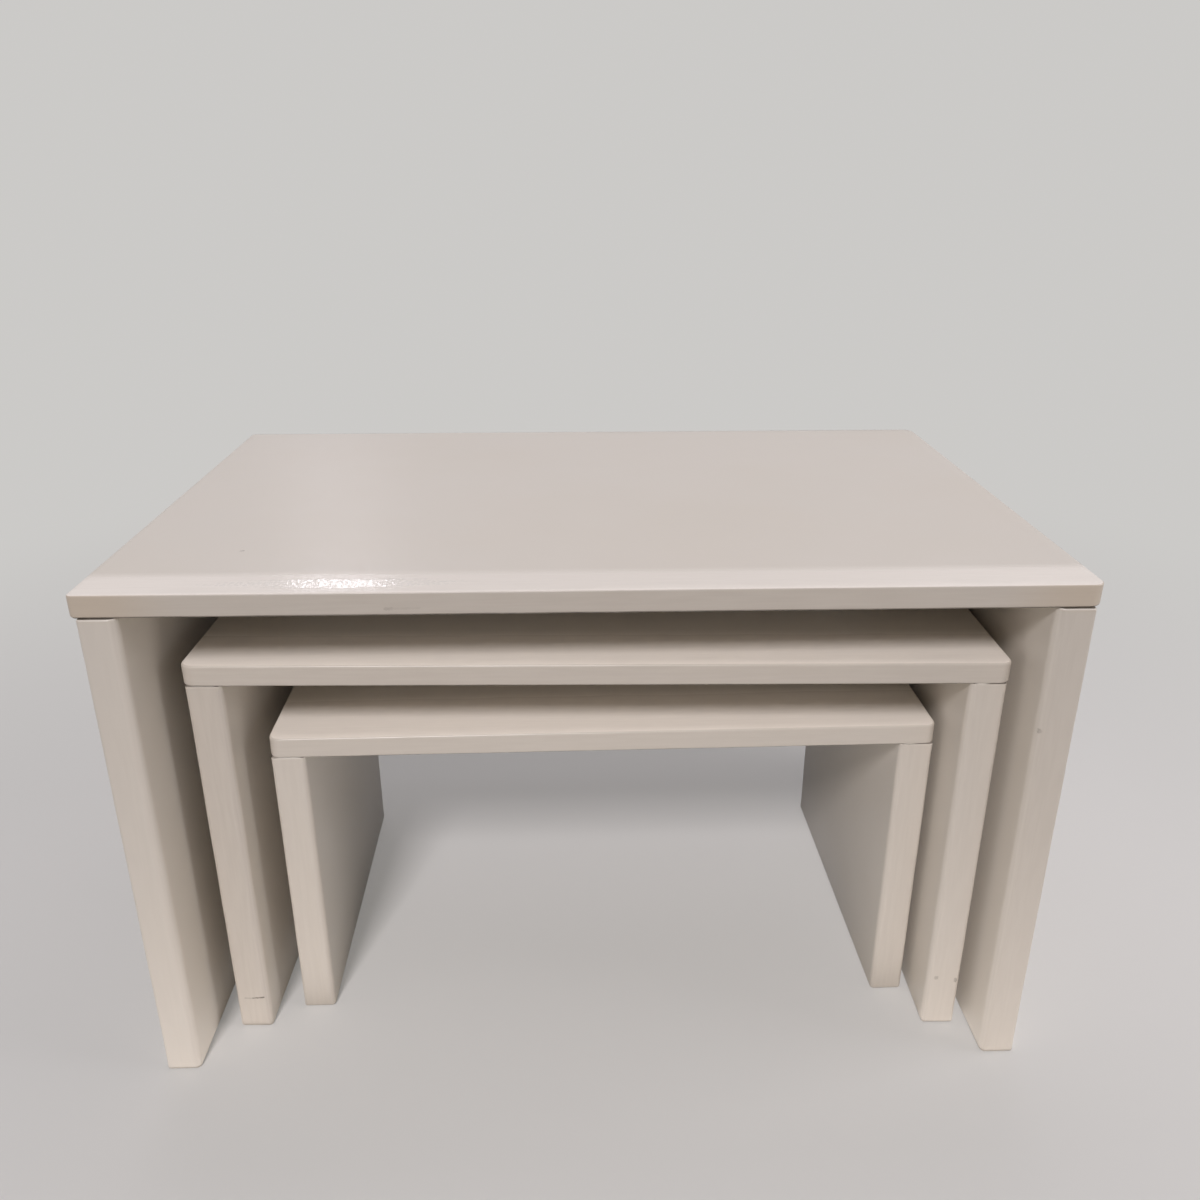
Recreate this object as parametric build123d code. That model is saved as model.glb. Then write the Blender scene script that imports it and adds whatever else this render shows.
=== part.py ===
from build123d import *
from dataclasses import dataclass
import math
import os

# A nest of three loose tables, in millimetres. Each table is a top board on two full-depth side panels,
# open at the front and the back. The middle table stands inside the large one, the small one inside both.
# +Z is up, +X is to the right and the front faces -Y. The origin is on the floor under the large table.

# Boards
top_thickness = 16.0
panel_thickness = 25.0
edge_radius = 2.5

# Large table, measured over its top
large_width = 650.0
large_depth = 420.0
large_height = 386.0

# How far each top stands out past the outer faces of its panels
large_overhang = 3.5
middle_overhang = 2.5
small_overhang = 1.0

# Room that each table leaves for the next smaller one
side_play = 12.0
head_room = 53.0
depth_step = 75.0

# How the loose tables stand: the front edge's setback from the table around them, and the gap beside
# their right-hand edge at the front and at the back, which sets them a little to one side and askew
middle_setback = 36.5
middle_front_gap = 8.5
middle_back_gap = 1.5
small_setback = 29.3
small_front_gap = 5.3
small_back_gap = 14.9

# Dowels that join each top to its panels
dowel_diameter = 8.0
dowel_length = 30.0
dowel_chamfer = 1.0
dowel_inset = 50.0
dowel_pitch = 110.0

# Holes for the dowels
hole_play = 0.1
hole_end_gap = 0.5
hole_skin = 5.5


@dataclass
class Table:
    """One table's name, its size over the top board, the top's overhang and where it stands."""

    name: str
    width: float
    depth: float
    height: float
    overhang: float
    place: Location

    @property
    def joint_height(self):
        """Height of the face where the top rests on its panels."""
        return self.height - top_thickness

    @property
    def panel_x(self):
        """Distance from the table's middle to the middle of a panel's thickness."""
        return self.width / 2 - self.overhang - panel_thickness / 2


def nested_in(around, name, overhang, setback, front_gap, back_gap):
    """The next smaller table, standing on the floor inside the table around it."""
    width = around.width - 2 * (around.overhang + panel_thickness + side_play)
    depth = around.depth - depth_step
    height = around.height - top_thickness - head_room
    shift = side_play - (front_gap + back_gap) / 2
    back_shift = setback + (depth - around.depth) / 2
    turn = math.degrees(math.asin((back_gap - front_gap) / depth))
    place = around.place * Location((shift, back_shift, 0), (0, 0, turn))
    return Table(name, width, depth, height, overhang, place)


def rounded_board(size_x, size_y, size_z):
    """A board standing on Z = 0, centred on the Z axis, with every edge rounded."""
    board = Box(size_x, size_y, size_z, align=(Align.CENTER, Align.CENTER, Align.MIN))
    return fillet(board.edges(), edge_radius)


def dowel_spots(table, side):
    """Places of a joint's dowels, where their axes cross the face between panel and top."""
    span = table.depth - 2 * dowel_inset
    gaps = math.ceil(span / dowel_pitch)
    spots = []
    for index in range(gaps + 1):
        along = span * (index / gaps - 0.5)
        spots.append(Location((side * table.panel_x, along, table.joint_height)))
    return spots


def dowel_reach():
    """How far a dowel stands into the top and into the panel."""
    in_top = top_thickness - hole_skin - hole_end_gap
    return in_top, dowel_length - in_top


def drill():
    """The hole of one dowel, through the face between panel and top."""
    in_top, in_panel = dowel_reach()
    depth = dowel_length + 2 * hole_end_gap
    bottom = Align.CENTER, Align.CENTER, Align.MIN
    bore = Cylinder(dowel_diameter / 2 + hole_play, depth, align=bottom)
    return Pos(0, 0, -in_panel - hole_end_gap) * bore


def dowel():
    """One beech dowel with bevelled ends."""
    in_top, in_panel = dowel_reach()
    bottom = Align.CENTER, Align.CENTER, Align.MIN
    pin = Cylinder(dowel_diameter / 2, dowel_length, align=bottom)
    pin = chamfer(pin.edges().filter_by(GeomType.CIRCLE), dowel_chamfer)
    return Pos(0, 0, -in_panel) * pin


def top_board(table):
    """The top, with a blind hole in its underside for each dowel."""
    board = Pos(0, 0, table.joint_height) * rounded_board(table.width, table.depth, top_thickness)
    spots = dowel_spots(table, -1) + dowel_spots(table, 1)
    return board - [spot * drill() for spot in spots]


def side_panel(table, side):
    """A panel from the floor to the underside of the top, with its dowel holes."""
    board = rounded_board(panel_thickness, table.depth, table.joint_height)
    board = Pos(side * table.panel_x, 0, 0) * board
    return board - [spot * drill() for spot in dowel_spots(table, side)]


def dowel_row(table, side):
    """The dowels of one joint, as separate pieces."""
    return [spot * dowel() for spot in dowel_spots(table, side)]


def write_node(table, node, pieces):
    """Writes a piece of a table, or a row of like pieces, where it stands in the nest."""
    placed = [(table.place * piece).solid() for piece in pieces]
    export_step(Compound(placed), os.path.join("parts", f"{table.name}_{node}.step"))


def main():
    large = Table("large", large_width, large_depth, large_height, large_overhang, Location())
    middle = nested_in(large, "middle", middle_overhang, middle_setback, middle_front_gap, middle_back_gap)
    small = nested_in(middle, "small", small_overhang, small_setback, small_front_gap, small_back_gap)
    os.makedirs("parts", exist_ok=True)
    for table in (large, middle, small):
        write_node(table, "top", [top_board(table)])
        for side, hand in ((-1, "left"), (1, "right")):
            write_node(table, f"{hand}_panel", [side_panel(table, side)])
            write_node(table, f"{hand}_dowels", dowel_row(table, side))


main()
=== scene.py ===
import bpy
import math
from collections import namedtuple
from mathutils import Matrix, Vector


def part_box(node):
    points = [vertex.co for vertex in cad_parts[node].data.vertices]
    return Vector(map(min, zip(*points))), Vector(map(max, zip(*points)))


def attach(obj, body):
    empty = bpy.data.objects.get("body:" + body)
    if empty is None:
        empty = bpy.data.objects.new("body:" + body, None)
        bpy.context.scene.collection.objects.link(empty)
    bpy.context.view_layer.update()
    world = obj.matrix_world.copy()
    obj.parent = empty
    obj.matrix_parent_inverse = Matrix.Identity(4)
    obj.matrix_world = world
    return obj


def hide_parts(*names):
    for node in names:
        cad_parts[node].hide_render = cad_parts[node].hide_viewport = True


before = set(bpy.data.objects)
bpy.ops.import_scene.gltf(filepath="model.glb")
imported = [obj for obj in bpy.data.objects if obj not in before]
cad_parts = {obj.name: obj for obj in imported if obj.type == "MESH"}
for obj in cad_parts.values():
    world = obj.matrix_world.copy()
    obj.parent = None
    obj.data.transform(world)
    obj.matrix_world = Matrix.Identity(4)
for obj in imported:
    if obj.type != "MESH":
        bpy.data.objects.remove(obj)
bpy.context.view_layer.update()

bl_info = {
    "name": "Nest of Painted Tables",
    "version": (1, 0, 0),
    "blender": (4, 5, 0),
    "location": "3D View > Sidebar > Nest",
    "description": "Dresses a nest of three painted tables and sets a plain stage around it",
    "category": "Object",
}

# The nest is three loose tables, each a top on two side panels. Sizes are in metres.
TABLES = ("large", "middle", "small")
HANDS = ("left", "right")

# Space between the nodes of a tree
NODE_SPACING = 190

# How finely a board is divided: its flat cells, the rows in half a rounded arris and the narrow row beside it
CELL = 0.005
ROUND_ROWS = 4
HOLD = 0.0008

# Faces that meet at more than this angle keep a sharp edge
SHARP_ANGLE = math.radians(40)

# How far from a panel's head and foot its radii change
PANEL_FADE = 0.012

# Where the random shapes of the tops and of the panels start
TOP_SEED = 40
PANEL_SEED = 61

# How much the marks of the brush are drawn out along a board, how near the front the brushed strip gets
# thinner and at what share of its depth it starts to fade
BRUSH_STRETCH = 0.06
LIP_DEPTH = 0.011
STRIP_FULL = 0.7

# Round an arris, from 0 beside it to 1 on its ridge: where a point counts as one of the face, where the
# brushed strip wears off and where the darker paint of the edges, yellowed paint and painted shade, goes
# over, with its share at a corner
ON_FACE = (0.5, 1.0)
STRIP_WORN = (0.3, 0.9)
EDGE_OVER = (0.2, 0.8)
CORNER_WRAP = 0.7

# Where grime starts and is full on its way round an arris, from 0 on the front to 2 on the joint's face, and
# where it ends; on a top it covers the whole lower arris, as painted shade under its edges
TOP_GROOVE = (0.4, 0.85)
PANEL_GROOVE = (0.95, 1.35)
GROOVE_END = (2.0, 1.7)

# Dowel bores, a little wider than the dowels
BORE_PLAY = 0.0001
BORE_END_GAP = 0.0005
BORE_SIDES = 24

# The bead of paint in a joint: its rounded corners, the steps along it, its sides, its least thickness, the
# distance over which it wanders and where it turns from dark, grime and painted shade of the gap, to clean
# paint across a panel
BEAD_CORNER = 0.005
BEAD_CORNER_POINTS = 6
BEAD_STEP = 0.002
BEAD_SIDES = 10
BEAD_LEAST = 0.0001
BEAD_WANDER_LENGTH = 0.012
BEAD_CLEAN = (-0.1, 0.3)

# Paint left in the joints: how far it lies behind the faces, its thickness, how unevenly it was laid, how
# much more of it lies on the panel's inner side, how dark it is with grime and painted shade of the gap, and
# where its random shape starts
JointPaint = namedtuple("JointPaint", "inset bead wander lean grime seed")
JOINT_PAINT = {
    "large_left": JointPaint(0.0026, 0.0006, 0.5, 0.0, 0.95, 3),
    "large_right": JointPaint(0.0026, 0.0006, 0.5, 0.0, 0.95, 8),
    "middle_left": JointPaint(0.0014, 0.0008, 0.45, 0.1, 0.5, 12),
    "middle_right": JointPaint(0.0013, 0.0009, 0.5, 0.9, 0.95, 19),
    "small_left": JointPaint(0.0012, 0.00085, 0.35, 0.1, 0.5, 24),
    "small_right": JointPaint(0.0012, 0.0010, 0.6, 0.5, 0.8, 31),
}

# How each table was sanded and painted: radii of its top's upper and lower arrises, of the top's left and
# right corners, of its panels' upper arrises and of their inner upright arrises; how dark the paint on its
# top's edges is, partly yellowed and partly painted shade, and how far this goes over the arrises of the top
# and of the panels, below 0 keeping it off them so they show lighter; the depth of the brushed strip behind
# the top's front, a painted lit strip on the smaller tops, how much thinner the strip is along the front, and
# how dark the joints are, with grime and with painted shade that also runs along the top's lower arris
TableLook = namedtuple(
    "TableLook",
    "top_upper top_lower top_left top_right panel_upper panel_inner "
    "top_edge top_wrap panel_wrap strip lip grime",
)
LOOKS = {
    "large": TableLook(0.0010, 0.0026, 0.0040, 0.0085, 0.0018, 0.0068, 0.88, 1.0, -1.0, 0.040, 0.4, 1.0),
    "middle": TableLook(0.0020, 0.0016, 0.0090, 0.0080, 0.0008, 0.0054, 0.80, 1.0, 0.0, 0.060, 0.0, 0.8),
    "small": TableLook(0.0018, 0.0016, 0.0080, 0.0075, 0.0009, 0.0045, 0.65, 1.0, -0.3, 0.070, 0.0, 0.7),
}

# How dark the paint on each panel's edges is, partly yellowed and partly painted shade, set panel by panel to
# how dark its front is meant to look
PANEL_EDGES = {
    "large_left": 0.45,
    "large_right": 0.72,
    "middle_left": 0.88,
    "middle_right": 0.62,
    "small_left": 0.60,
    "small_right": 0.60,
}

# Random textures of the paint and the wood: how fine each is, how much detail it has and where it starts
Texture = namedtuple("Texture", "scale detail seed")
CLOUDS = Texture(6.0, 3.0, 2.0)
STREAKS = Texture(500.0, 2.0, 17.0)
DUST = Texture(90.0, 2.0, 7.0)
DULLING = Texture(25.0, 3.0, 11.0)
MARK_JITTER = Texture(900.0, 2.0, 5.0)
MARK_BREAKS = Texture(260.0, 1.0, 23.0)
BEECH_GRAIN = Texture(900.0, 3.0, 1.0)
BEECH_FLECKS = Texture(1800.0, 1.0, 4.0)

# How much warmer the clouds are, how far the roughness spreads, how the paint bends light and how deep the
# marks of the brush are on an arris
WARM_SHARE = 0.25
GLOSS_SPREAD = 0.16
PAINT_IOR = 1.5
ARRIS_BRUSH = 0.6

# How the beech's grain and flecks are drawn out along a dowel, and how deep the grain is
GRAIN_STRETCH = (1.0, 1.0, 0.06)
FLECK_STRETCH = (1.0, 1.0, 0.25)
GRAIN_HEIGHT = 0.00005

# Scuffs and specks in the paint, from a start to an end, each with its half width and how dark it is; where a
# mark's cover starts and is full, in half widths, and how deep it is in the paint
MARK_COVER = (1.6, 0.8)
MARK_DEPTH = 2.0
Mark = namedtuple("Mark", "start end width depth")
MARKS = (
    Mark((-0.2720, -0.1679, 0.0286), (-0.2656, -0.1680, 0.0283), 0.0005, 0.25),
    Mark((-0.2658, -0.1680, 0.0285), (-0.2574, -0.1681, 0.0291), 0.00055, 0.85),
    Mark((0.2669, -0.1788, 0.0451), (0.2669, -0.1788, 0.0456), 0.0013, 0.30),
    Mark((0.2821, -0.1791, 0.0420), (0.2823, -0.1791, 0.0440), 0.0010, 0.50),
    Mark((0.2984, -0.2081, 0.2800), (0.2987, -0.2079, 0.2806), 0.0013, 0.35),
    Mark((-0.2392, -0.1307, 0.3860), (-0.2380, -0.1303, 0.3860), 0.0009, 0.40),
    Mark((-0.1290, -0.2100, 0.3750), (-0.1250, -0.2100, 0.3751), 0.0008, 0.24),
    Mark((-0.1250, -0.2100, 0.3751), (-0.1075, -0.2100, 0.3755), 0.0006, 0.12),
)

# A run of thick, glossy paint on the brushed strip: its middle, its reach, how ragged its outline is, how
# close its beads lie, where their random shape starts, their height and how the run bends light
RUN_MIDDLE = (-0.163, -0.1935, 0.386)
RUN_REACH = (0.088, 0.0095, 0.010)
RUN_RAGGED = 0.8
RUN_BEADS = (420.0, 300.0, 420.0)
RUN_SEED = 29.0
RUN_HEIGHT = 5.5
RUN_IOR = 1.7

# The large top's edge is browner towards its ends: where this starts and is full, out from the middle and up
# from the joint, and how brown it gets
BROWN_ACROSS = (0.25, 0.31)
BROWN_UP = (0.366, 0.371)
BROWN_SHARE = 0.6

# How pale the brushed strip is: on the large top, which alone is above this height, it changes from the
# middle out to the ends, paler paint with a painted sheen that grows towards the front corners, and on the
# smaller tops it has one share, a painted pool of the light that passes under the top above
LARGE_TOP_ABOVE = 0.38
PALE_AND_SHEEN_ACROSS = (0.08, 0.30)
PALE_AND_SHEEN_SHARES = (0.7, 1.0)
NESTED_PAINTED_LIGHT = 0.8

# The camera: where it stands, how it is turned and its focal length on a square frame
FRAME_PIXELS = 1200
FOCAL_PIXELS = 1055.53
SENSOR = 36.0
CAMERA_PLACE = Vector((-0.01090, -0.81834, 0.63138))
CAMERA_PITCH = math.radians(22.482)
CAMERA_YAW = math.radians(1.4785)
CAMERA_ROLL = math.radians(-0.0653)

# The floor: its size, where it fades into the background, and the band in front that throws back most light
FLOOR_RADIUS = 6.0
FLOOR_SIDES = 96
FADE_START = 0.35
FADE_END = 1.5
BOUNCE_MIDDLE = -0.30
BOUNCE_NEAR = 0.10
BOUNCE_FAR = 0.30

# The lamps: where each is, the point that it faces, its width and depth, its colour and if gloss shows it
WARM_WHITE = (1.0, 0.96, 0.97)
COOL_WHITE = (0.995, 0.94, 1.0)
Lamp = namedtuple("Lamp", "place aim size colour glossy")
LAMPS = {
    "overhead": Lamp((0.0, 1.0, 2.3), (0.0, 0.1, 0.3), (2.2, 1.6), COOL_WHITE, True),
    "front": Lamp((-0.9, -4.0, 3.65), (0.0, -0.2, 0.3), (0.9, 0.85), WARM_WHITE, True),
    "right": Lamp((2.2, -0.3, 0.9), (0.0, 0.0, 0.3), (1.2, 1.2), WARM_WHITE, True),
    "low": Lamp((0.0, -0.37, 0.004), (0.0, -0.36, 1.0), (1.1, 0.40), WARM_WHITE, False),
    "glint": Lamp((-0.59, 1.63, 1.10), (-0.144, -0.193, 0.386), (0.20, 0.06), COOL_WHITE, True),
}


def length_property(name, description, default):
    """A size that a user may change, in metres."""
    return bpy.props.FloatProperty(
        name=name, description=description, default=default, min=0.0, precision=5, unit="LENGTH"
    )


def share_property(name, description, default):
    """A share from nothing to all."""
    return bpy.props.FloatProperty(
        name=name, description=description, default=default, min=0.0, max=1.0, subtype="FACTOR"
    )


def colour_property(name, description, default):
    """A colour that a user may change."""
    return bpy.props.FloatVectorProperty(
        name=name, description=description, default=default, size=3, min=0.0, max=1.0, subtype="COLOR"
    )


def power_property(name, description, default):
    """A lamp's power in watts."""
    return bpy.props.FloatProperty(name=name, description=description, default=default, min=0.0, unit="POWER")


class NestBoards(bpy.types.PropertyGroup):
    """How the boards were sanded"""

    panel_outer: length_property("Panel's outer arris", "Radius of a panel's outer upright arrises", 0.0030)
    panel_lower: length_property("Panel's lower arris", "Radius around a panel's foot", 0.0022)
    wander: share_property("Uneven sanding", "How much the radius of an arris wanders", 0.25)
    wander_length: length_property("Sanding length", "Distance over which the radius wanders", 0.035)
    wave: length_property("Surface wave", "How far a face dips between its high spots", 0.00008)
    wave_length: length_property("Wave length", "Distance between the high spots of a face", 0.09)
    square_top: share_property("Square head", "How much squarer a panel's corners are at its head", 0.3)
    square_foot: share_property("Square foot", "How much squarer a panel's corners are at its foot", 0.6)


class NestPaint(bpy.types.PropertyGroup):
    """Colours and gloss of the paint and the dowels"""

    cream: colour_property("Cream", "The paint's main colour", (0.745, 0.697, 0.632))
    warm: colour_property("Warm cream", "The paint where it has yellowed a little", (0.695, 0.620, 0.515))
    # The edges' colour is darker partly as yellowed paint and partly as painted shade on the upright faces
    edge: colour_property("Edge cream", "The paint on the boards' edges", (0.530, 0.478, 0.420))
    edge_end: colour_property("Edge end", "Paint at the ends of the large top's edge", (0.555, 0.455, 0.345))
    # Partly paler paint and partly painted light: painted sheen on the large top, painted lit strips on the
    # others
    strip_cream_and_light: colour_property("Strip cream", "The paint of the brushed strip", (0.965, 0.905, 0.835))
    # Dark for grime in the joints and scuffs, and for painted shade on the tops' lower arrises and in the
    # grooves
    grime: colour_property("Grime", "Dirt in the joints and in the scuffs", (0.085, 0.066, 0.048))
    gloss: share_property("Roughness", "Roughness of the rolled paint", 0.34)
    strip_gloss: share_property("Strip roughness", "Roughness of the brushed strip", 0.24)
    run_gloss: share_property("Run roughness", "Roughness of the run of thick paint on the strip", 0.06)
    peel_size: length_property("Roller peel", "Distance between the bumps of the rolled paint", 0.0026)
    peel_height: length_property("Peel height", "Height of the bumps of the rolled paint", 0.00003)
    beech: colour_property("Beech", "Main colour of the dowels", (0.52, 0.33, 0.17))
    beech_grain: colour_property("Beech grain", "Darker grain of the dowels", (0.36, 0.20, 0.09))


class NestStage(bpy.types.PropertyGroup):
    """Floor, background and lamps"""

    floor: colour_property("Floor", "The floor's colour", (0.74, 0.73, 0.715))
    bounce: colour_property("Floor bounce", "Colour that the floor in front throws back", (0.60, 0.56, 0.47))
    deep_bounce: colour_property("Deep bounce", "Colour that the rest throws back", (0.06, 0.056, 0.048))
    backdrop: colour_property("Background", "Colour behind the floor", (0.60, 0.59, 0.575))
    glow: share_property("Floor glow", "How much of the background shows in the floor by the tables", 0.3)
    ambient: colour_property("Ambient", "Light from all around", (0.02, 0.02, 0.02))
    overhead: power_property("Overhead lamp", "Power of the large lamp up behind", 17.0)
    front: power_property("Front lamp", "Power of the lamp up in front, a little to the left", 188.0)
    right: power_property("Right lamp", "Power of the lamp on the right", 18.0)
    low: power_property("Low lamp", "Power of the pale sheet of light on the floor in front", 0.90)
    glint: power_property("Glint lamp", "Power of the small lamp behind on the left", 0.27)


class Steps:
    """Writes a node tree as a run of steps, whose inputs are plain values or the results of earlier steps."""

    def __init__(self, tree):
        self.tree = tree

    def feed(self, socket, value):
        """Links an earlier result to a socket, or sets a plain value on it."""
        if isinstance(value, bpy.types.NodeSocket):
            self.tree.links.new(value, socket)
        elif socket.type == "VECTOR" and not hasattr(value, "__len__"):
            socket.default_value = (value, value, value)
        elif socket.type == "RGBA":
            socket.default_value = (*value[:3], 1.0)
        else:
            socket.default_value = value

    def add(self, kind, inputs=None, output=0, **settings):
        """Adds a node and returns one of its results, or the node itself where it has none."""
        node = self.tree.nodes.new(kind)
        node.location.x = NODE_SPACING * len(self.tree.nodes)
        for name, value in settings.items():
            setattr(node, name, value)
        for key, value in (inputs or {}).items():
            self.feed(node.inputs[key], value)
        return node.outputs[output] if node.outputs else node

    def math(self, operation, *values):
        return self.add("ShaderNodeMath", dict(enumerate(values)), operation=operation)

    def vector(self, operation, *values):
        return self.add("ShaderNodeVectorMath", dict(enumerate(values)), operation=operation)

    def scaled(self, vector, share):
        return self.add("ShaderNodeVectorMath", {0: vector, "Scale": share}, operation="SCALE")

    def length(self, vector):
        return self.add("ShaderNodeVectorMath", {0: vector}, "Value", operation="LENGTH")

    def dot(self, first, second):
        return self.add("ShaderNodeVectorMath", {0: first, 1: second}, "Value", operation="DOT_PRODUCT")

    def split(self, vector):
        node = self.add("ShaderNodeSeparateXYZ", {0: vector}).node
        return tuple(node.outputs)

    def joined(self, x, y, z):
        return self.add("ShaderNodeCombineXYZ", {0: x, 1: y, 2: z})

    def ramp(self, value, start, end, low=0.0, high=1.0):
        """Goes softly from low at start to high at end, and stays there."""
        inputs = {0: value, 1: start, 2: end, 3: low, 4: high}
        return self.add("ShaderNodeMapRange", inputs, interpolation_type="SMOOTHSTEP")

    def noise(self, place, scale, detail=0.0, seed=0.0, rough=0.5):
        """Soft random values from 0 to 1, about 0.5 in the middle."""
        inputs = {"Vector": place, "W": seed, "Scale": scale, "Detail": detail, "Roughness": rough}
        return self.add("ShaderNodeTexNoise", inputs, noise_dimensions="4D")

    def mixed(self, share, first, second):
        """A number that goes from the first to the second."""
        return self.add("ShaderNodeMix", {0: share, 2: first, 3: second}, data_type="FLOAT")

    def tinted(self, share, first, second):
        """A colour that goes from the first to the second."""
        return self.add("ShaderNodeMix", {0: share, 6: first, 7: second}, output=2, data_type="RGBA")


# Measures that come from the frame


def middle_of(node):
    """Middle of a node's box."""
    low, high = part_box(node)
    return (low + high) / 2


def turn_of(table):
    """How far a table is turned from square, from the middle of one panel to the middle of the other."""
    across = middle_of(f"{table}_right_panel") - middle_of(f"{table}_left_panel")
    return math.atan2(across.y, across.x)


def squared_points(node, turn):
    """A node's points turned back square to the frame."""
    back = Matrix.Rotation(-turn, 3, "Z")
    return [back @ vertex.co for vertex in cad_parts[node].data.vertices]


def size_of(node, turn):
    """A node's width, depth and height, square to its own table."""
    points = squared_points(node, turn)
    spans = []
    for axis in range(3):
        along = [point[axis] for point in points]
        spans.append(max(along) - min(along))
    return Vector(spans)


def dowel_count(node, turn):
    """How many dowels a row holds, from the gaps between them along the table's depth."""
    size = size_of(node, turn)
    along = sorted(point.y for point in squared_points(node, turn))
    gaps = [after - before for before, after in zip(along, along[1:])]
    return 1 + sum(gap > size.x for gap in gaps)


# Node trees that grow the pieces


def given_inputs(tree, inputs):
    """Adds a tree's named inputs and returns what they carry."""
    for name, kind in inputs.items():
        tree.interface.new_socket(name=name, in_out="INPUT", socket_type=f"NodeSocket{kind}")
    node = tree.nodes.new("NodeGroupInput")
    return {name: node.outputs[name] for name in inputs}


def finish_tree(steps, geometry, given):
    """Sets the piece in its place, makes it real and gives it its material."""
    turn = steps.joined(0.0, 0.0, given["Turn"])
    inputs = {"Geometry": geometry, "Translation": given["Place"], "Rotation": turn}
    geometry = steps.add("GeometryNodeTransform", inputs)
    geometry = steps.add("GeometryNodeRealizeInstances", {"Geometry": geometry})
    geometry = steps.add("GeometryNodeSetMaterial", {"Geometry": geometry, "Material": given["Material"]})
    steps.tree.interface.new_socket(name="Geometry", in_out="OUTPUT", socket_type="NodeSocketGeometry")
    steps.add("NodeGroupOutput", {0: geometry})


def wandering(steps, given, place):
    """A share about 1 that wanders over the board."""
    drift = steps.noise(place, steps.math("DIVIDE", 1.0, given["Wander Length"]), 1.0, given["Seed"])
    drift = steps.math("MULTIPLY_ADD", drift, 2.0, -1.0)
    return steps.math("MULTIPLY_ADD", drift, given["Wander"], 1.0)


def stored(steps, geometry, name, value, kind="FLOAT"):
    """Keeps a value with each point, for the paint to read."""
    inputs = {"Geometry": geometry, "Name": name, "Value": value}
    return steps.add("GeometryNodeStoreNamedAttribute", inputs, data_type=kind)


def bored(steps, board, given):
    """Takes the dowel bores out of a board."""
    radius = steps.math("MULTIPLY", given["Bore Diameter"], 0.5)
    sizes = {"Vertices": BORE_SIDES, "Radius": radius, "Depth": given["Bore Depth"]}
    bore = steps.add("GeometryNodeMeshCylinder", sizes)
    gaps = steps.math("SUBTRACT", given["Bores"], 1.0)
    pitch = steps.math("DIVIDE", given["Bore Run"], gaps)
    start = steps.joined(0.0, steps.math("MULTIPLY", given["Bore Run"], -0.5), 0.0)
    line = {"Count": given["Bores"], "Start Location": start, "Offset": steps.joined(0.0, pitch, 0.0)}
    row = steps.add("GeometryNodeMeshLine", line)
    row = steps.add("GeometryNodeInstanceOnPoints", {"Points": row, "Instance": bore})
    start = steps.joined(steps.math("MULTIPLY", given["Row Spacing"], -0.5), 0.0, given["Bore Level"])
    spacing = steps.joined(given["Row Spacing"], 0.0, 0.0)
    line = {"Count": given["Rows"], "Start Location": start, "Offset": spacing}
    rows = steps.add("GeometryNodeMeshLine", line)
    rows = steps.add("GeometryNodeInstanceOnPoints", {"Points": rows, "Instance": row})
    rows = steps.add("GeometryNodeRealizeInstances", {"Geometry": rows})
    inputs = {"Mesh 1": board, "Mesh 2": rows}
    return steps.add("GeometryNodeMeshBoolean", inputs, operation="DIFFERENCE", solver="MANIFOLD")


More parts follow.
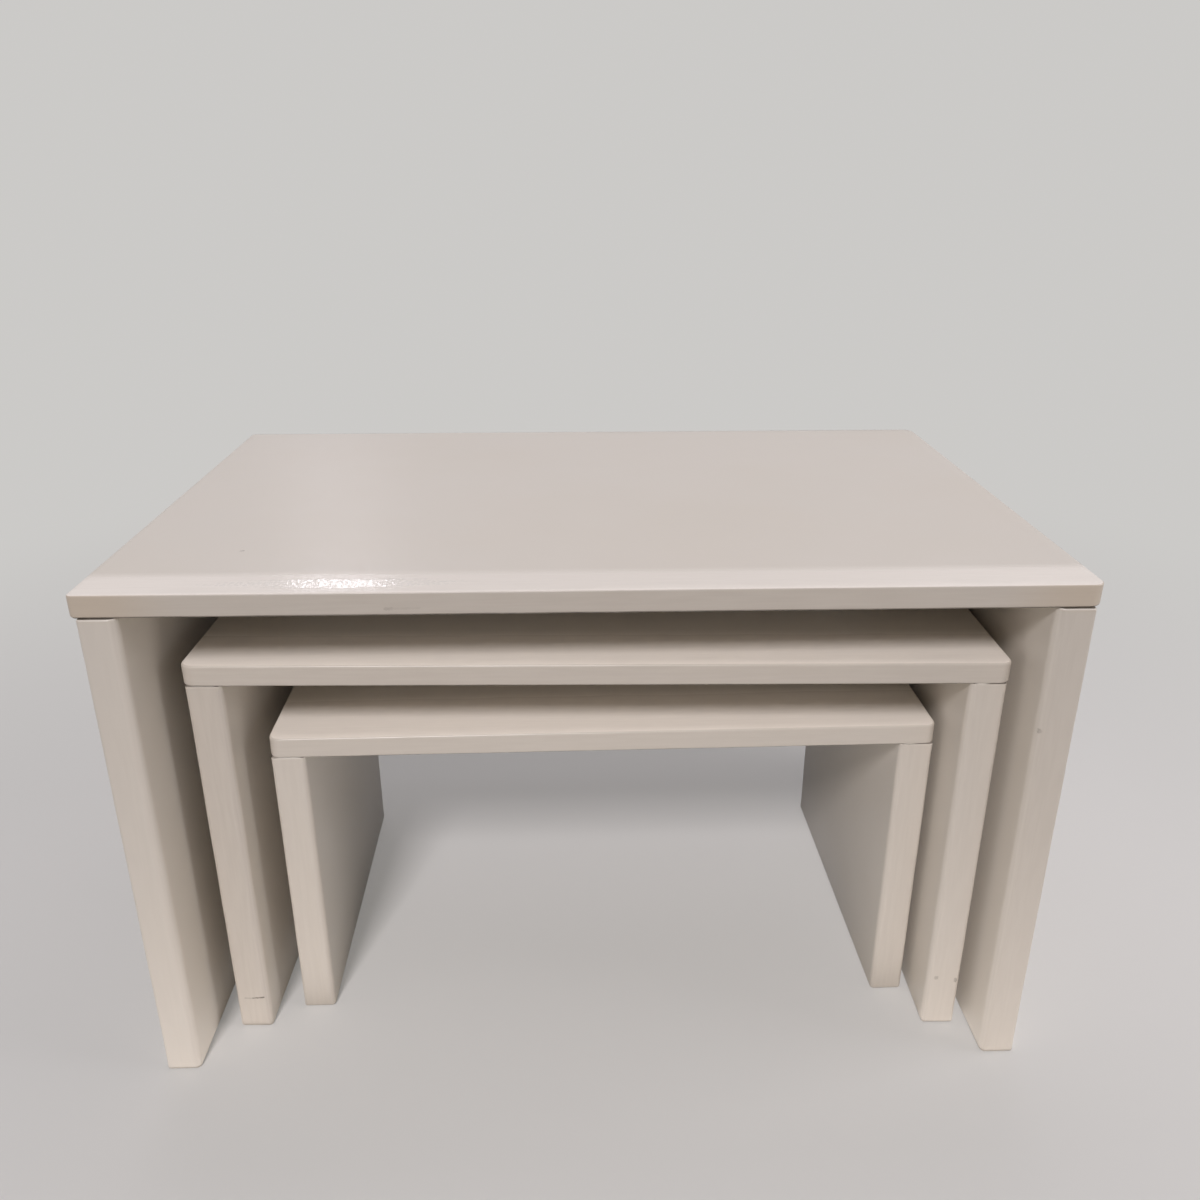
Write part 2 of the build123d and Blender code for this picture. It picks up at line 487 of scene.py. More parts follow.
def board_tree():
    """A board whose arrises were rounded by hand, a little unevenly, with bores for its dowels."""
    tree = bpy.data.node_groups.new("rounded_board", "GeometryNodeTree")
    numbers = ("Width", "Depth", "Height", "Upper Radius", "Lower Radius", "Corner Radius", "Other Radius")
    numbers += ("Other Side", "Fade", "Square Top", "Square Foot", "Wander", "Wander Length", "Wave")
    numbers += ("Wave Length", "Strip", "Lip", "Edge", "Edge Wrap", "Upright", "Grime", "Grime Side")
    numbers += ("Grime Start", "Grime End", "Turn", "Seed")
    numbers += ("Bore Diameter", "Bore Depth", "Bore Run", "Bore Level", "Row Spacing")
    kinds = {name: "Float" for name in numbers}
    kinds.update({"Bores": "Int", "Rows": "Int", "Place": "Vector", "Material": "Material"})
    given = given_inputs(tree, kinds)
    steps = Steps(tree)

    # A block divided into flat cells, with extra rows along its edges
    size = steps.joined(given["Width"], given["Depth"], given["Height"])
    half = steps.scaled(size, 0.5)
    edge_rows = ROUND_ROWS + 1
    cells = steps.vector("CEIL", steps.scaled(size, 1.0 / CELL))
    cells = steps.vector("ADD", cells, 2.0 * edge_rows)
    corners = steps.split(steps.vector("ADD", cells, 1.0))
    counts = {f"Vertices {axis}": count for axis, count in zip("XYZ", corners)}
    block = steps.add("GeometryNodeMeshCube", {"Size": size, **counts})

    # Where each point is on its way from the middle to the face: on the flat, beside the arris or round it
    place = steps.add("GeometryNodeInputPosition")
    side = steps.vector("SIGN", place)
    reach = steps.vector("DIVIDE", steps.vector("ABSOLUTE", place), half)
    row = steps.vector("MULTIPLY", steps.vector("SUBTRACT", 1.0, reach), steps.scaled(cells, 0.5))
    rounding = steps.vector("SUBTRACT", 1.0, steps.scaled(row, 1.0 / ROUND_ROWS))
    rounding = steps.vector("MAXIMUM", rounding, 0.0)
    holding = steps.vector("SUBTRACT", float(edge_rows), row)
    holding = steps.vector("MINIMUM", steps.vector("MAXIMUM", holding, 0.0), 1.0)
    flat_end = steps.vector("SUBTRACT", 1.0, steps.vector("DIVIDE", 2.0 * edge_rows, cells))
    flat = steps.vector("MINIMUM", steps.vector("DIVIDE", reach, flat_end), 1.0)
    swing = steps.vector("TANGENT", steps.scaled(rounding, math.pi / 4))

    # The widest radius that the arrises can have, in plan and up and down
    most = steps.math("ADD", given["Wander"], 1.0)
    tallest = steps.math("MAXIMUM", given["Upper Radius"], given["Lower Radius"])
    tallest = steps.math("MULTIPLY", tallest, most)
    widest = steps.math("MAXIMUM", given["Corner Radius"], given["Other Radius"])
    widest = steps.math("MAXIMUM", steps.math("MULTIPLY", widest, most), tallest)
    largest = steps.joined(widest, widest, tallest)
    margin = steps.vector("ADD", largest, HOLD)
    flat_part = steps.vector("MULTIPLY", flat, steps.vector("SUBTRACT", half, margin))

    def laid(radii):
        """How far the points lie from the middle, when the arrises have these radii along the axes."""
        hold_part = steps.vector("MULTIPLY", holding, steps.vector("SUBTRACT", margin, radii))
        round_part = steps.vector("MULTIPLY", swing, radii)
        return steps.vector("ADD", flat_part, steps.vector("ADD", hold_part, round_part))

    # The radius changes from arris to arris and wanders along each: one round the faces above and below, and
    # one in plan round the upright arrises, which is squarer at the head and the foot
    spot = steps.vector("MULTIPLY", laid(largest), side)
    half_y, half_z = steps.split(half)[1:]
    spot_x, spot_y, spot_z = steps.split(spot)
    rise = steps.ramp(spot_z, steps.math("SUBTRACT", half_z, given["Fade"]), half_z)
    radius = steps.mixed(rise, given["Lower Radius"], given["Upper Radius"])
    below = steps.math("MULTIPLY", half_z, -1.0)
    sink = steps.ramp(spot_z, steps.math("ADD", below, given["Fade"]), below)
    head = steps.math("MULTIPLY", rise, given["Square Top"])
    foot = steps.math("MULTIPLY", sink, given["Square Foot"])
    other = steps.math("GREATER_THAN", steps.math("MULTIPLY", spot_x, given["Other Side"]), 0.0)
    corner = steps.mixed(other, given["Corner Radius"], given["Other Radius"])
    in_plan = steps.mixed(steps.math("MAXIMUM", head, foot), corner, radius)
    in_plan = steps.math("MAXIMUM", in_plan, radius)
    uneven = wandering(steps, given, spot)
    radius = steps.math("MULTIPLY", radius, uneven)
    in_plan = steps.math("MULTIPLY", in_plan, uneven)
    radii = steps.joined(in_plan, in_plan, radius)

    # What the paint needs to know: how near an arris is, and where the brushed strip lies, whose paler colour
    # is partly painted light
    round_x, round_y, round_z = steps.split(rounding)
    round_out = steps.math("MAXIMUM", round_x, round_y)
    level = steps.math("MINIMUM", round_out, round_z)
    upright = steps.math("MINIMUM", round_x, round_y)
    block = stored(steps, block, "arris", steps.math("MAXIMUM", level, upright))
    behind = steps.math("ADD", spot_y, half_y)
    strip = steps.ramp(behind, given["Strip"], steps.math("MULTIPLY", given["Strip"], STRIP_FULL))
    strip = steps.math("MULTIPLY", strip, steps.math("GREATER_THAN", given["Strip"], HOLD))
    bare = steps.math("MULTIPLY", steps.ramp(behind, LIP_DEPTH, 0.0), given["Lip"])
    bare = steps.math("MAXIMUM", bare, steps.ramp(level, *STRIP_WORN))
    strip = steps.math("MULTIPLY", strip, steps.math("SUBTRACT", 1.0, bare))
    strip = steps.math("MULTIPLY", strip, steps.ramp(round_z, *ON_FACE))
    block = stored(steps, block, "brushed", strip)

    # The darker paint of the edges, partly yellowed and partly painted shade on the upright faces, which goes
    # some way over the arrises, or, with a wrap below 0, is kept off the level arrises so that they show
    # lighter
    thin = steps.mixed(given["Upright"], round_z, round_x)
    wrapped = steps.math("MULTIPLY", steps.ramp(level, *EDGE_OVER), given["Edge Wrap"])
    wrapped = steps.math("ADD", wrapped, steps.ramp(upright, *EDGE_OVER, 0.0, CORNER_WRAP))
    edge = steps.math("ADD", steps.ramp(thin, *reversed(ON_FACE)), wrapped)
    edge = steps.add("ShaderNodeClamp", {0: edge})
    block = stored(steps, block, "edge", steps.math("MULTIPLY", edge, given["Edge"]))

    # Grime lies in the groove of the joint, on its way round the arris from the front to the joint's face; on
    # a top it darkens the whole lower arris round the board, as painted shade under its edges
    way = steps.math("SUBTRACT", steps.math("ADD", round_z, 1.0), round_out)
    dirty_and_shaded = steps.ramp(way, given["Grime Start"], given["Grime End"])
    dirty_and_shaded = steps.math("MULTIPLY", dirty_and_shaded, steps.ramp(way, *GROOVE_END))
    groove = steps.math("GREATER_THAN", steps.math("MULTIPLY", spot_z, given["Grime Side"]), 0.0)
    dirty_and_shaded = steps.math("MULTIPLY", dirty_and_shaded, steps.math("MULTIPLY", groove, given["Grime"]))
    block = stored(steps, block, "grime", dirty_and_shaded)

    # The lay of the brush, drawn out along the board
    along = steps.joined(
        steps.mixed(given["Upright"], BRUSH_STRETCH, 1.0),
        1.0,
        steps.mixed(given["Upright"], 1.0, BRUSH_STRETCH),
    )
    block = stored(steps, block, "lay", steps.vector("MULTIPLY", spot, along), "FLOAT_VECTOR")

    # Every point goes to its place on the rounded board: out to the outline in plan, then over the arris
    kept = steps.vector("MINIMUM", laid(radii), steps.vector("SUBTRACT", half, radii))
    swing_x, swing_y, swing_z = steps.split(swing)
    outward = steps.math("MAXIMUM", swing_x, swing_y)
    bend = steps.vector("NORMALIZE", steps.joined(outward, swing_z, 0.0))
    bend_out, bend_up = steps.split(bend)[:2]
    to_outline = steps.ramp(outward, 0.0, math.tan(math.pi / 4 / ROUND_ROWS))
    to_outline = steps.math("MULTIPLY", to_outline, steps.math("SUBTRACT", in_plan, radius))
    to_outline = steps.math("ADD", to_outline, steps.math("MULTIPLY", bend_out, radius))
    outline_way = steps.vector("NORMALIZE", steps.joined(swing_x, swing_y, 0.0))
    lifted = steps.joined(0.0, 0.0, steps.math("MULTIPLY", bend_up, radius))
    turned = steps.vector("ADD", steps.scaled(outline_way, to_outline), lifted)
    rounded = steps.vector("MULTIPLY", steps.vector("ADD", kept, turned), side)
    board = steps.add("GeometryNodeSetPosition", {"Geometry": block, "Position": rounded})

    # The faces dip a little between their high spots
    place = steps.add("GeometryNodeInputPosition")
    dip = steps.noise(place, steps.math("DIVIDE", 1.0, given["Wave Length"]), 1.0, given["Seed"])
    dip = steps.math("MULTIPLY", dip, steps.math("MULTIPLY", given["Wave"], -1.0))
    offset = steps.scaled(steps.add("GeometryNodeInputNormal"), dip)
    board = steps.add("GeometryNodeSetPosition", {"Geometry": board, "Offset": offset})

    board = bored(steps, board, given)
    board = steps.add("GeometryNodeSetShadeSmooth", {"Geometry": board, "Shade Smooth": True})
    angle = steps.add("GeometryNodeInputMeshEdgeAngle")
    sharp = steps.math("GREATER_THAN", angle, SHARP_ANGLE)
    inputs = {"Geometry": board, "Selection": sharp, "Shade Smooth": False}
    board = steps.add("GeometryNodeSetShadeSmooth", inputs, domain="EDGE")
    finish_tree(steps, board, given)
    return tree


def bead_tree():
    """Paint that ran into the groove between a panel and its top."""
    tree = bpy.data.node_groups.new("joint_bead", "GeometryNodeTree")
    numbers = ("Thickness", "Depth", "Inset", "Bead", "Wander", "Wander Length", "Lean", "Grime", "Side")
    numbers += ("Turn", "Seed")
    kinds = {name: "Float" for name in numbers}
    kinds.update({"Place": "Vector", "Material": "Material"})
    given = given_inputs(tree, kinds)
    steps = Steps(tree)
    spare = steps.math("MULTIPLY", given["Inset"], 2.0)
    width = steps.math("SUBTRACT", given["Thickness"], spare)
    depth = steps.math("SUBTRACT", given["Depth"], spare)
    loop = steps.add("GeometryNodeCurvePrimitiveQuadrilateral", {"Width": width, "Height": depth})
    inputs = {"Curve": loop, "Count": BEAD_CORNER_POINTS, "Radius": BEAD_CORNER}
    loop = steps.add("GeometryNodeFilletCurve", inputs, mode="POLY")
    loop = steps.add("GeometryNodeResampleCurve", {"Curve": loop, "Length": BEAD_STEP}, mode="LENGTH")
    place = steps.add("GeometryNodeInputPosition")
    across = steps.math("MULTIPLY", steps.split(place)[0], given["Side"])
    inner = steps.math("DIVIDE", across, steps.math("MULTIPLY", given["Thickness"], -0.5))
    lean = steps.math("MULTIPLY_ADD", inner, given["Lean"], 1.0)
    bead = steps.math("MULTIPLY", given["Bead"], wandering(steps, given, place))
    bead = steps.math("MAXIMUM", steps.math("MULTIPLY", bead, lean), BEAD_LEAST)
    profile = steps.add("GeometryNodeCurvePrimitiveCircle", {"Resolution": BEAD_SIDES, "Radius": 1.0})
    inputs = {"Curve": loop, "Profile Curve": profile, "Scale": bead}
    tube = steps.add("GeometryNodeCurveToMesh", inputs)
    tube = steps.add("GeometryNodeSetShadeSmooth", {"Geometry": tube, "Shade Smooth": True})
    # The bead's darkness is grime and painted shade of the gap, cleaner towards the panel's inner side
    clean = steps.math("MULTIPLY", steps.ramp(inner, *BEAD_CLEAN), given["Lean"])
    bead_grime_and_shade = steps.math("MULTIPLY", steps.math("SUBTRACT", 1.0, clean), given["Grime"])
    tube = stored(steps, tube, "grime", bead_grime_and_shade)
    finish_tree(steps, tube, given)
    return tree


def grown(name, tree, values):
    """A plain mesh piece that a node tree grows from named values."""
    start = bpy.data.meshes.new(name)
    piece = bpy.data.objects.new(name, start)
    bpy.context.scene.collection.objects.link(piece)
    modifier = piece.modifiers.new(tree.name, "NODES")
    modifier.node_group = tree
    sockets = [item for item in tree.interface.items_tree if item.in_out == "INPUT"]
    for item in sockets:
        modifier[item.identifier] = values[item.name]
    view = bpy.context.evaluated_depsgraph_get()
    finished = piece.evaluated_get(view)
    mesh = bpy.data.meshes.new_from_object(finished, preserve_all_data_layers=True, depsgraph=view)
    piece.modifiers.remove(modifier)
    piece.data = mesh
    bpy.data.meshes.remove(start)
    mesh.name = name
    return piece


def kept_tree(name, build):
    """A node tree that is built once and shared."""
    return bpy.data.node_groups.get(name) or build()


# Materials


def new_material(name):
    """An empty material with its output and a Principled shader, and the steps to fill it."""
    material = bpy.data.materials.new(name)
    material.use_nodes = True
    material.node_tree.nodes.clear()
    steps = Steps(material.node_tree)
    shader = steps.add("ShaderNodeBsdfPrincipled")
    steps.add("ShaderNodeOutputMaterial", {"Surface": shader})
    return material, steps, shader.node


def mark_shares(steps, place, jitter):
    """How much of each point a scuff or speck covers."""
    total = None
    start, full = MARK_COVER
    for mark in MARKS:
        along = Vector(mark.end) - Vector(mark.start)
        offset = steps.vector("SUBTRACT", place, mark.start)
        share = steps.dot(offset, tuple(along / along.length_squared))
        share = steps.add("ShaderNodeClamp", {0: share})
        nearest = steps.scaled(tuple(along), share)
        away = steps.length(steps.vector("SUBTRACT", offset, nearest))
        away = steps.math("MULTIPLY_ADD", jitter, mark.width, away)
        cover = steps.ramp(away, start * mark.width, full * mark.width, 0.0, mark.depth)
        total = cover if total is None else steps.math("MAXIMUM", total, cover)
    broken = steps.ramp(steps.noise(place, *MARK_BREAKS), 0.36, 0.58, 0.6, 1.0)
    return steps.math("MULTIPLY", total, broken)


def cream_paint(settings):
    """Satin cream paint with grime in the joints, rolled on the faces and brushed along the edges; its colour
    also holds painted shade on the edges and painted light on the brushed strips.
    """
    material, steps, shader = new_material("cream_paint")
    place = steps.add("ShaderNodeTexCoord", output="Object")
    arris = steps.add("ShaderNodeAttribute", output="Fac", attribute_name="arris")
    brushed = steps.add("ShaderNodeAttribute", output="Fac", attribute_name="brushed")
    edge = steps.add("ShaderNodeAttribute", output="Fac", attribute_name="edge")
    grime = steps.add("ShaderNodeAttribute", output="Fac", attribute_name="grime")
    lay = steps.add("ShaderNodeAttribute", output="Vector", attribute_name="lay")

    # Colour: slow clouds of a warmer cream, edges darkened in streaks of the brush, partly yellowed and
    # partly painted shade, browner at the ends of the large top, and a paler brushed strip, partly painted
    # light: a painted sheen on the large top and a painted pool of light on the smaller tops
    clouds = steps.ramp(steps.noise(place, *CLOUDS), 0.35, 0.8, 0.0, WARM_SHARE)
    colour = steps.tinted(clouds, tuple(settings.cream), tuple(settings.warm))
    streaks = steps.noise(lay, *STREAKS)
    # The darker edges are painted shade as well as yellowed paint, in streaks of the brush
    yellowed = steps.math("MULTIPLY", edge, steps.ramp(streaks, 0.3, 0.7, 0.86, 1.0))
    colour = steps.tinted(yellowed, colour, tuple(settings.edge))
    places = steps.split(place)
    across = steps.math("ABSOLUTE", places[0])
    level = places[2]
    brown = steps.math("MULTIPLY", steps.ramp(across, *BROWN_ACROSS, 0.0, BROWN_SHARE), edge)
    brown = steps.math("MULTIPLY", brown, steps.ramp(level, *BROWN_UP))
    colour = steps.tinted(brown, colour, tuple(settings.edge_end))
    # Painted light: a painted pool of light on the smaller tops, a painted sheen towards the large top's
    # corners
    pale = steps.ramp(across, *PALE_AND_SHEEN_ACROSS, *PALE_AND_SHEEN_SHARES)
    pale = steps.mixed(steps.math("GREATER_THAN", level, LARGE_TOP_ABOVE), NESTED_PAINTED_LIGHT, pale)
    pale = steps.math("MULTIPLY", brushed, pale)
    pale = steps.math("MULTIPLY", pale, steps.ramp(streaks, 0.2, 0.8, 0.8, 1.0))
    colour = steps.tinted(pale, colour, tuple(settings.strip_cream_and_light))

    # Grime in the joints and in the scuffs, and painted shade along the tops' lower arrises and in the
    # grooves
    jitter = steps.math("MULTIPLY_ADD", steps.noise(place, *MARK_JITTER), 2.0, -1.0)
    marks = mark_shares(steps, place, jitter)
    patchy_grime_and_shade = steps.ramp(steps.noise(place, *DUST), 0.3, 0.7, 0.8, 1.0)
    patchy_grime_and_shade = steps.math("MULTIPLY", grime, patchy_grime_and_shade)
    colour = steps.tinted(steps.math("MAXIMUM", marks, patchy_grime_and_shade), colour, tuple(settings.grime))

    # Gloss: duller clouds on the rolled faces, smoother where the brush went
    gloss = steps.noise(place, *DULLING)
    gloss = steps.math("MULTIPLY_ADD", gloss, GLOSS_SPREAD, settings.gloss - GLOSS_SPREAD / 2)
    gloss = steps.mixed(brushed, gloss, settings.strip_gloss)

    # A run of thick paint on the strip, with small glossy beads
    reach = steps.vector("DIVIDE", steps.vector("SUBTRACT", place, RUN_MIDDLE), RUN_REACH)
    ragged = steps.math("MULTIPLY_ADD", streaks, RUN_RAGGED, -RUN_RAGGED / 2)
    reach = steps.math("ADD", steps.length(reach), ragged)
    run = steps.math("MULTIPLY", steps.ramp(reach, 1.0, 0.7), brushed)
    beads = steps.noise(steps.vector("MULTIPLY", place, RUN_BEADS), 1.0, 1.0, RUN_SEED)
    coat = steps.math("MULTIPLY", run, steps.ramp(beads, 0.42, 0.58, 0.25, 1.0))

    # Surface: roller peel, streaks of the brush along the strip and the edges, beads of the run and marks
    peel = steps.noise(place, 1.0 / settings.peel_size, detail=2.0, seed=13.0)
    brush = steps.math("MAXIMUM", steps.math("MULTIPLY", arris, ARRIS_BRUSH), edge)
    brush = steps.math("MAXIMUM", brushed, brush)
    height = steps.math("MULTIPLY_ADD", streaks, brush, peel)
    height = steps.math("MULTIPLY_ADD", beads, steps.math("MULTIPLY", run, RUN_HEIGHT), height)
    height = steps.math("SUBTRACT", height, steps.math("MULTIPLY", marks, MARK_DEPTH))
    bump = steps.add("ShaderNodeBump", {"Strength": 1.0, "Distance": settings.peel_height, "Height": height})
    values = {
        "Base Color": colour,
        "Roughness": gloss,
        "IOR": PAINT_IOR,
        "Normal": bump,
        "Coat Weight": coat,
        "Coat Roughness": settings.run_gloss,
        "Coat IOR": RUN_IOR,
        "Coat Normal": bump,
    }
    for name, value in values.items():
        steps.feed(shader.inputs[name], value)
    return material


def raw_beech(settings):
    """Bare beech dowel with its grain along its length and small darker flecks."""
    material, steps, shader = new_material("raw_beech")
    place = steps.add("ShaderNodeTexCoord", output="Object")
    grain = steps.noise(steps.vector("MULTIPLY", place, GRAIN_STRETCH), *BEECH_GRAIN)
    flecks = steps.noise(steps.vector("MULTIPLY", place, FLECK_STRETCH), *BEECH_FLECKS)
    share = steps.math("MAXIMUM", steps.ramp(grain, 0.35, 0.75), steps.ramp(flecks, 0.62, 0.72))
    colour = steps.tinted(share, tuple(settings.beech), tuple(settings.beech_grain))
    gloss = steps.math("MULTIPLY_ADD", grain, 0.2, 0.5)
    bump = steps.add("ShaderNodeBump", {"Strength": 0.6, "Distance": GRAIN_HEIGHT, "Height": grain})
    for name, value in (("Base Color", colour), ("Roughness", gloss), ("Normal", bump)):
        steps.feed(shader.inputs[name], value)
    return material


def kept_material(name, build, settings):
    """A material that is built once and shared."""
    return bpy.data.materials.get(name) or build(settings)


# Operators


class NestOperator:
    """What the operators of the nest share."""

    bl_options = {"REGISTER", "UNDO"}

    def board(self, scene, name, table, seed, **values):
        """Grows one board in place of its node."""
        boards = scene.nest_boards
        turn = turn_of(table)
        size = size_of(name, turn)
        row = f"{table}_left_dowels"
        dowel = size_of(row, turn)
        values.update({
            "Width": size.x,
            "Depth": size.y,
            "Height": size.z,
            "Wander": boards.wander,
            "Wander Length": boards.wander_length,
            "Wave": boards.wave,
            "Wave Length": boards.wave_length,
            "Turn": turn,
            "Seed": float(seed),
            "Bore Diameter": dowel.x + 2 * BORE_PLAY,
            "Bore Depth": dowel.z + 2 * BORE_END_GAP,
            "Bore Run": dowel.y - dowel.x,
            "Bore Level": middle_of(row).z - middle_of(name).z,
            "Bores": dowel_count(row, turn),
            "Place": middle_of(name),
            "Material": kept_material("cream_paint", cream_paint, scene.nest_paint),
        })
        piece = grown(f"{name}_board", kept_tree("rounded_board", board_tree), values)
        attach(piece, f"{table}_table")
        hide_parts(name)


class NEST_OT_tops(NestOperator, bpy.types.Operator):
    """Grow the three top boards"""

    bl_idname = "nest.tops"
    bl_label = "Top Boards"

    def execute(self, context):
        for seed, table in enumerate(TABLES, TOP_SEED):
            name = f"{table}_top"
            look = LOOKS[table]
            rows = middle_of(f"{table}_right_dowels") - middle_of(f"{table}_left_dowels")
            self.board(context.scene, name, table, seed, **{
                "Upper Radius": look.top_upper,
                "Lower Radius": look.top_lower,
                "Corner Radius": look.top_left,
                "Other Radius": look.top_right,
                "Other Side": 1.0,
                "Edge": look.top_edge,
                "Edge Wrap": look.top_wrap,
                "Grime": look.grime,
                "Grime Side": -1.0,
                "Grime Start": TOP_GROOVE[0],
                "Grime End": TOP_GROOVE[1],
                "Upright": 0.0,
                "Fade": size_of(name, turn_of(table)).z,
                "Square Top": 0.0,
                "Square Foot": 0.0,
                "Strip": look.strip,
                "Lip": look.lip,
                "Rows": 2,
                "Row Spacing": rows.length,
            })
        return {"FINISHED"}


class NEST_OT_panels(NestOperator, bpy.types.Operator):
    """Grow the six side panels"""

    bl_idname = "nest.panels"
    bl_label = "Side Panels"

    def execute(self, context):
        boards = context.scene.nest_boards
        seed = PANEL_SEED
        for table in TABLES:
            look = LOOKS[table]
            for side, hand in zip((-1, 1), HANDS):
                self.board(context.scene, f"{table}_{hand}_panel", table, seed, **{
                    "Upper Radius": look.panel_upper,
                    "Lower Radius": boards.panel_lower,
                    "Corner Radius": boards.panel_outer,
                    "Other Radius": look.panel_inner,
                    "Other Side": float(-side),
                    "Edge": PANEL_EDGES[f"{table}_{hand}"],
                    "Edge Wrap": look.panel_wrap,
                    "Grime": look.grime,
                    "Grime Side": 1.0,
                    "Grime Start": PANEL_GROOVE[0],
                    "Grime End": PANEL_GROOVE[1],
                    "Upright": 1.0,
                    "Fade": PANEL_FADE,
                    "Square Top": boards.square_top,
                    "Square Foot": boards.square_foot,
                    "Strip": 0.0,
                    "Lip": 0.0,
                    "Rows": 1,
                    "Row Spacing": 0.0,
                })
                seed += 1
        return {"FINISHED"}


class NEST_OT_joint_paint(NestOperator, bpy.types.Operator):
    """Run paint into the grooves between the panels and the tops"""

    bl_idname = "nest.joint_paint"
    bl_label = "Joint Paint"

    def execute(self, context):
        for table in TABLES:
            turn = turn_of(table)
            for side, hand in zip((-1, 1), HANDS):
                panel = f"{table}_{hand}_panel"
                size = size_of(panel, turn)
                laid = JOINT_PAINT[f"{table}_{hand}"]
                place = middle_of(panel)
                place.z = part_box(panel)[1].z
                piece = grown(f"{table}_{hand}_joint_paint", kept_tree("joint_bead", bead_tree), {
                    "Thickness": size.x,
                    "Depth": size.y,
                    "Inset": laid.inset,
                    "Bead": laid.bead,
                    "Wander": laid.wander,
                    "Wander Length": BEAD_WANDER_LENGTH,
                    "Lean": laid.lean,
                    "Grime": laid.grime,
                    "Side": float(side),
                    "Turn": turn,
                    "Seed": float(laid.seed),
                    "Place": place,
                    "Material": kept_material("cream_paint", cream_paint, context.scene.nest_paint),
                })
                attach(piece, f"{table}_table")
        return {"FINISHED"}


class NEST_OT_dowels(NestOperator, bpy.types.Operator):
    """Give the dowels their wood"""

    bl_idname = "nest.dowels"
    bl_label = "Dowels"

    def execute(self, context):
        beech = kept_material("raw_beech", raw_beech, context.scene.nest_paint)
        for table in TABLES:
            for hand in HANDS:
                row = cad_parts[f"{table}_{hand}_dowels"]
                for slot in row.material_slots:
                    slot.material = beech
        return {"FINISHED"}


# The stage


def seen_share(steps):
    """1 for rays that show the stage, straight or in a reflection, and 0 for the light that it throws."""
    node = steps.add("ShaderNodeLightPath").node
    names = ("Is Camera Ray", "Is Glossy Ray", "Is Transmission Ray")
    camera, glossy, through = (node.outputs[name] for name in names)
    return steps.math("MAXIMUM", camera, steps.math("MAXIMUM", glossy, through))


def stage_floor(settings):
    """A pale floor that fades into the background, and throws back less light than it shows."""
    mesh = bpy.data.meshes.new("floor")
    ring = []
    for index in range(FLOOR_SIDES):
        angle = math.tau * index / FLOOR_SIDES
        ring.append((FLOOR_RADIUS * math.cos(angle), FLOOR_RADIUS * math.sin(angle), 0.0))
    mesh.from_pydata(ring, [], [range(FLOOR_SIDES)])
    floor = bpy.data.objects.new("floor", mesh)
    bpy.context.scene.collection.objects.link(floor)
    material = bpy.data.materials.new("pale_floor")
    material.use_nodes = True
    material.node_tree.nodes.clear()
    steps = Steps(material.node_tree)
    place = steps.add("ShaderNodeTexCoord", output="Object")
    fade = steps.ramp(steps.length(place), FADE_START, FADE_END, settings.glow)
    pale = steps.add("ShaderNodeBsdfDiffuse", {"Color": tuple(settings.floor)})
    beyond = steps.add("ShaderNodeEmission", {"Color": tuple(settings.backdrop), "Strength": 1.0})
    shown = steps.add("ShaderNodeMixShader", {0: fade, 1: pale, 2: beyond})
    away = steps.math("ABSOLUTE", steps.math("SUBTRACT", steps.split(place)[1], BOUNCE_MIDDLE))
    away = steps.ramp(away, BOUNCE_NEAR, BOUNCE_FAR)
    bounce = steps.tinted(away, tuple(settings.bounce), tuple(settings.deep_bounce))
    thrown = steps.add("ShaderNodeBsdfDiffuse", {"Color": bounce})
    both = steps.add("ShaderNodeMixShader", {0: seen_share(steps), 1: thrown, 2: shown})
    steps.add("ShaderNodeOutputMaterial", {"Surface": both})
    mesh.materials.append(material)


def stage_world(settings):
    """Soft light from all around, with a pale background."""
    world = bpy.data.worlds.new("studio")
    world.use_nodes = True
    world.node_tree.nodes.clear()
    steps = Steps(world.node_tree)
    ambient = steps.add("ShaderNodeBackground", {"Color": tuple(settings.ambient), "Strength": 1.0})
    backdrop = steps.add("ShaderNodeBackground", {"Color": tuple(settings.backdrop), "Strength": 1.0})
    both = steps.add("ShaderNodeMixShader", {0: seen_share(steps), 1: ambient, 2: backdrop})
    steps.add("ShaderNodeOutputWorld", {"Surface": both})
    bpy.context.scene.world = world


def stage_lamps(settings):
    """Soft rectangular lamps that the camera doesn't see."""
    for name, lamp in LAMPS.items():
        light = bpy.data.lights.new(name, "AREA")
        light.shape = "RECTANGLE"
        light.size, light.size_y = lamp.size
        light.energy = getattr(settings, name)
        light.color = lamp.colour
        holder = bpy.data.objects.new(name, light)
        holder.location = lamp.place
        facing = Vector(lamp.aim) - Vector(lamp.place)
        holder.rotation_euler = facing.to_track_quat("-Z", "Y").to_euler()
        holder.visible_camera = False
        holder.visible_glossy = lamp.glossy
        bpy.context.scene.collection.objects.link(holder)


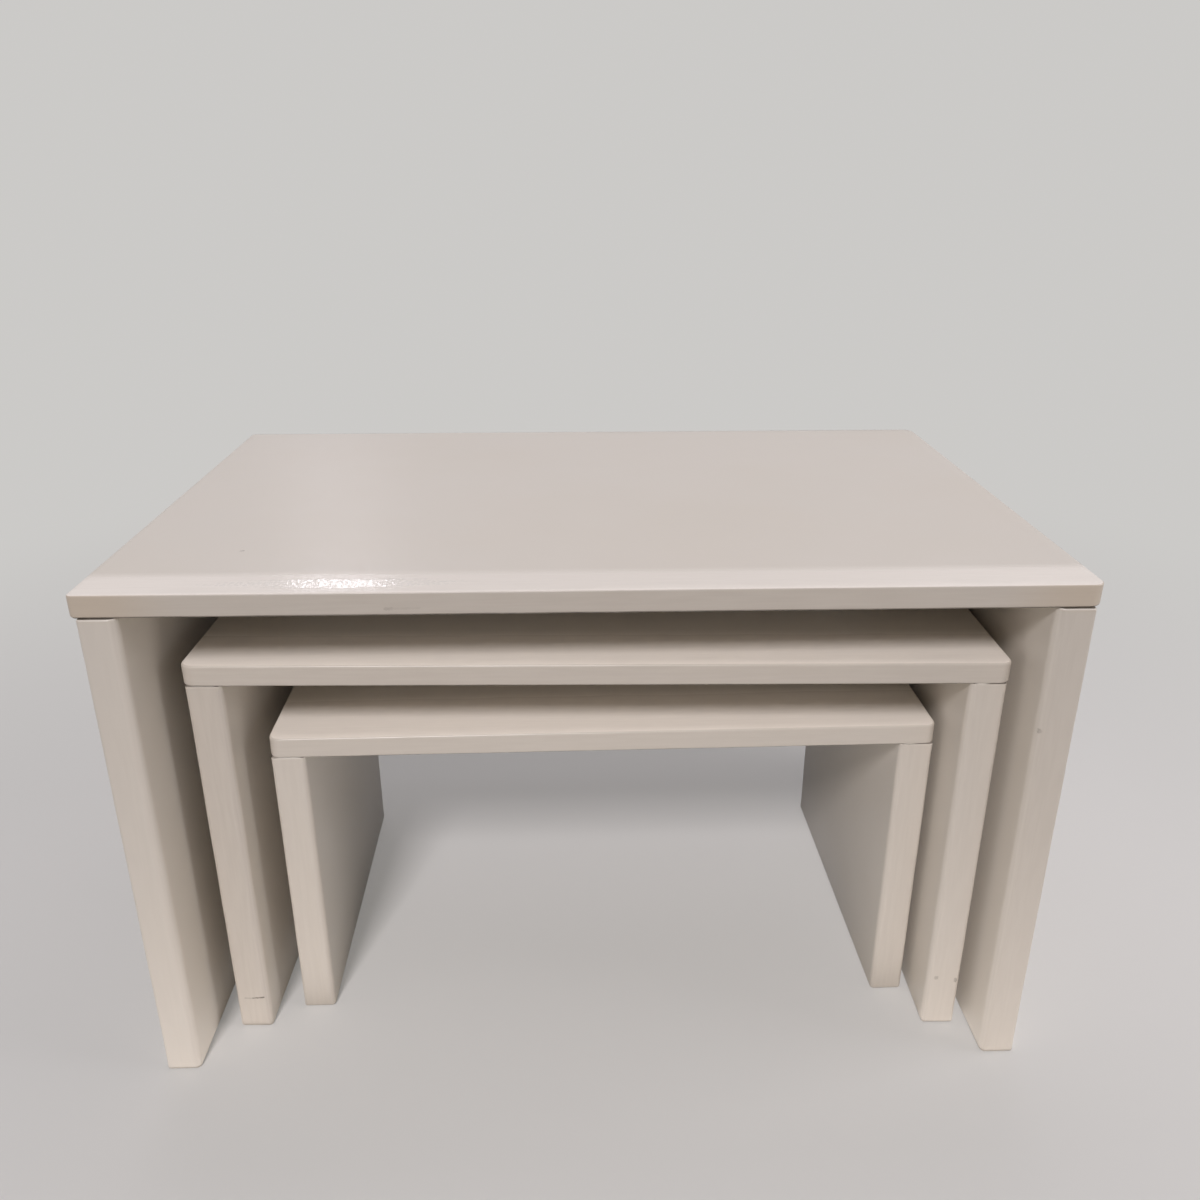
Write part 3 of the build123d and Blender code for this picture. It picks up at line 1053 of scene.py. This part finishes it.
def stage_camera():
    """The camera, at the photograph's viewing angle."""
    camera = bpy.data.cameras.new("camera")
    camera.sensor_width = SENSOR
    camera.lens = SENSOR * FOCAL_PIXELS / FRAME_PIXELS
    ahead = Vector((
        math.sin(CAMERA_YAW) * math.cos(CAMERA_PITCH),
        math.cos(CAMERA_YAW) * math.cos(CAMERA_PITCH),
        -math.sin(CAMERA_PITCH),
    ))
    level = Vector((math.cos(CAMERA_YAW), -math.sin(CAMERA_YAW), 0.0))
    above = level.cross(ahead)
    right = math.cos(CAMERA_ROLL) * level + math.sin(CAMERA_ROLL) * above
    up = right.cross(ahead)
    holder = bpy.data.objects.new("camera", camera)
    turn = Matrix((right, up, -ahead)).transposed().to_4x4()
    holder.matrix_world = Matrix.Translation(CAMERA_PLACE) @ turn
    bpy.context.scene.collection.objects.link(holder)
    bpy.context.scene.camera = holder


class NEST_OT_stage(NestOperator, bpy.types.Operator):
    """Set the floor, the background, the lamps and the camera"""

    bl_idname = "nest.stage"
    bl_label = "Stage"

    def execute(self, context):
        settings = context.scene.nest_stage
        stage_floor(settings)
        stage_world(settings)
        stage_lamps(settings)
        stage_camera()
        context.scene.view_settings.view_transform = "Standard"
        return {"FINISHED"}


PIECE_OPERATORS = (NEST_OT_tops, NEST_OT_panels, NEST_OT_joint_paint, NEST_OT_dowels)


class NEST_PT_sidebar(bpy.types.Panel):
    """Lists the nest's sizes, colours and pieces"""

    bl_idname = "NEST_PT_sidebar"
    bl_label = "Nest of Painted Tables"
    bl_space_type = "VIEW_3D"
    bl_region_type = "UI"
    bl_category = "Nest"

    def draw(self, context):
        for group in (context.scene.nest_boards, context.scene.nest_paint, context.scene.nest_stage):
            box = self.layout.box()
            for name in group.__annotations__:
                box.prop(group, name)
        for operator in (*PIECE_OPERATORS, NEST_OT_stage):
            self.layout.operator(operator.bl_idname)


GROUPS = {"nest_boards": NestBoards, "nest_paint": NestPaint, "nest_stage": NestStage}
CLASSES = (*GROUPS.values(), *PIECE_OPERATORS, NEST_OT_stage, NEST_PT_sidebar)


def register():
    for entry in CLASSES:
        bpy.utils.register_class(entry)
    for name, group in GROUPS.items():
        setattr(bpy.types.Scene, name, bpy.props.PointerProperty(type=group))


def unregister():
    for name in GROUPS:
        delattr(bpy.types.Scene, name)
    for entry in reversed(CLASSES):
        bpy.utils.unregister_class(entry)


def main():
    register()
    bpy.ops.nest.tops()
    bpy.ops.nest.panels()
    bpy.ops.nest.joint_paint()
    bpy.ops.nest.dowels()
    bpy.ops.nest.stage()


if __name__ == "__main__":
    main()
